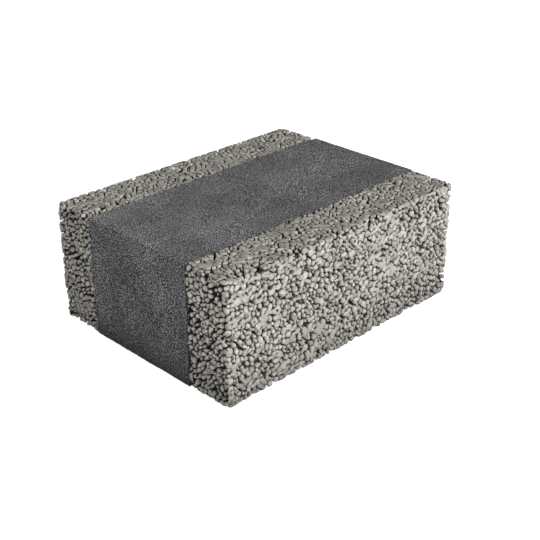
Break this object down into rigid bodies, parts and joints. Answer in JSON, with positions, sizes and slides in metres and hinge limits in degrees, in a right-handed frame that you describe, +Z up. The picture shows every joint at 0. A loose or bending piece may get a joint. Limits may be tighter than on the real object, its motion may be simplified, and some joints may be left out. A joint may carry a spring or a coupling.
{
  "type": "insulated concrete block",
  "caption": "Rectangular sandwich building block: open-textured lightweight-aggregate concrete leaves on both faces of a dark rigid foam core, laid in courses to make an insulated wall.",
  "frame": {"origin": "middle of the underside", "axes": "+X along the wall, +Y through the wall from the front leaf to the back leaf, +Z up"},
  "size_m": [0.49, 0.38, 0.195],
  "materials": {
    "aggregate_concrete": "matt, open-textured, rounded grains held by cement paste",
    "foam_insulation": "matt, fine-grained rigid foam, dark grey"
  },
  "bodies": {
    "root": {"front_leaf": "aggregate_concrete", "insulation_core": "foam_insulation", "back_leaf": "aggregate_concrete"}
  },
  "joints": []
}
